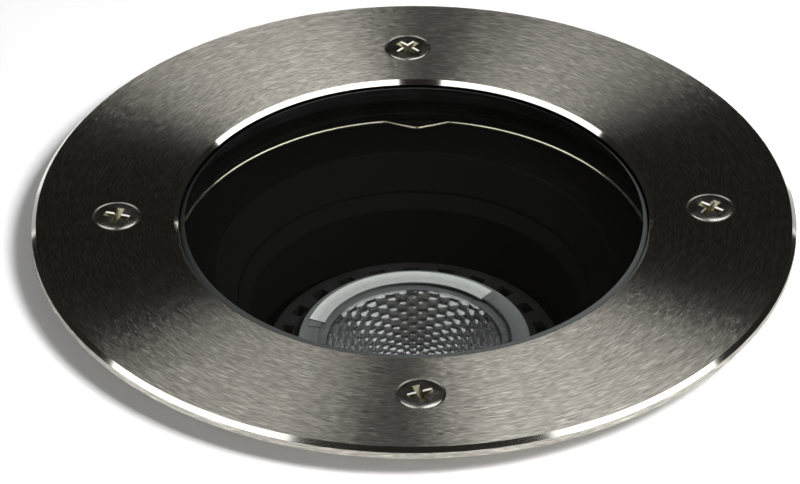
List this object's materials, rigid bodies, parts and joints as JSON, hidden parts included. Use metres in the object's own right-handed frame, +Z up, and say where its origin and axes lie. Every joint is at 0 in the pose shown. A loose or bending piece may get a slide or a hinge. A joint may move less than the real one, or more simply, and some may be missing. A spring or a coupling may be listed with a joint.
{
  "type": "in ground well light",
  "caption": "Round recessed ground light: steel bezel and stepped glass over a tilting, turning lamp in a cast pot, set in a mounting sleeve.",
  "frame": {"origin": "centre of the bezel's underside, at ground level, on the axis of the sleeve", "axes": "+Z up out of the ground, the way the lamp shines; the lamp's tilt pivots lie along X"},
  "size_m": [0.16, 0.16, 0.1628],
  "materials": {
    "bezel_steel": "turned brushing, polished edges",
    "screw_steel": "satin stainless",
    "small_screws": "zinc plated",
    "plated_steel": "zinc plated sheet",
    "spring_wire": "pale passivated spring wire",
    "window_glass": "clear toughened, ground edge",
    "lamp_glass": "clear",
    "rubber": "black silicone",
    "cast_black": "black powder coat on a casting",
    "baffle_black": "fine texture black powder coat",
    "collar_grey": "dark grey satin paint",
    "nylon": "natural nylon",
    "lamp_silver": "satin silver",
    "reflector_mirror": "dimpled mirror with a violet tint",
    "led_board": "white board, yellow phosphor",
    "lamp_shell_aluminium": "cast, blasted",
    "lamp_base_plastic": "white moulding",
    "pin_nickel": "nickel plated brass",
    "ceramic": "unglazed steatite",
    "block_plastic": "natural polyamide",
    "brass": "plain brass",
    "gland_plastic": "black polyamide",
    "sleeve_plastic": "black polypropylene"
  },
  "bodies": {
    "pot": {"sleeve": "sleeve_plastic", "housing": "cast_black", "housing_screws": "small_screws", "wire_ring": "spring_wire", "baffle": "baffle_black", "bearing_plate": "plated_steel", "bearing_plate_screws": "small_screws", "stop_pin": "plated_steel", "glide_ring": "nylon", "terminal_block": "block_plastic", "terminal_inserts": "brass", "terminal_screws": "small_screws", "terminal_fixing_screw": "small_screws", "earth_screw": "brass", "earth_washer": "plated_steel", "gland_body": "gland_plastic", "gland_seal": "rubber", "gland_nut": "gland_plastic", "gland_washer": "rubber", "blanking_plug": "gland_plastic", "plug_washer": "rubber"},
    "cover": {"bezel": "bezel_steel", "bezel_screws": "screw_steel", "glass": "window_glass", "glass_gasket": "rubber"},
    "pan": {"pan_ring": "baffle_black"},
    "collar": {"lamp_carrier": "collar_grey", "pivot_screws": "small_screws", "tilt_bushes": "nylon", "lamp_strap": "plated_steel", "strap_screws": "small_screws", "lampholder": "ceramic", "lampholder_screws": "small_screws"},
    "lamp": {"lamp_ring": "lamp_silver", "lamp_lens": "lamp_glass", "lamp_reflector": "reflector_mirror", "lamp_led": "led_board", "lamp_shell": "lamp_shell_aluminium", "lamp_base": "lamp_base_plastic", "lamp_pins": "pin_nickel"}
  },
  "joints": [
    {"name": "cover_lift", "type": "slide", "parent": "pot", "child": "cover", "axis": [0, 0, 1], "range_m": [0, 0.06]},
    {"name": "pan_turn", "type": "hinge", "parent": "pot", "child": "pan", "pos_m": [0, 0, -0.04599], "axis": [0, 0, 1], "range_deg": [-175, 175]},
    {"name": "lamp_tilt", "type": "hinge", "parent": "pan", "child": "collar", "pos_m": [0, 0, -0.04599], "axis": [1, 0, 0], "range_deg": [-15, 15]},
    {"name": "lamp_twist", "type": "hinge", "parent": "collar", "child": "lamp", "pos_m": [0, 0, -0.04599], "axis": [0, 0, 1], "range_deg": [0, 25]}
  ]
}
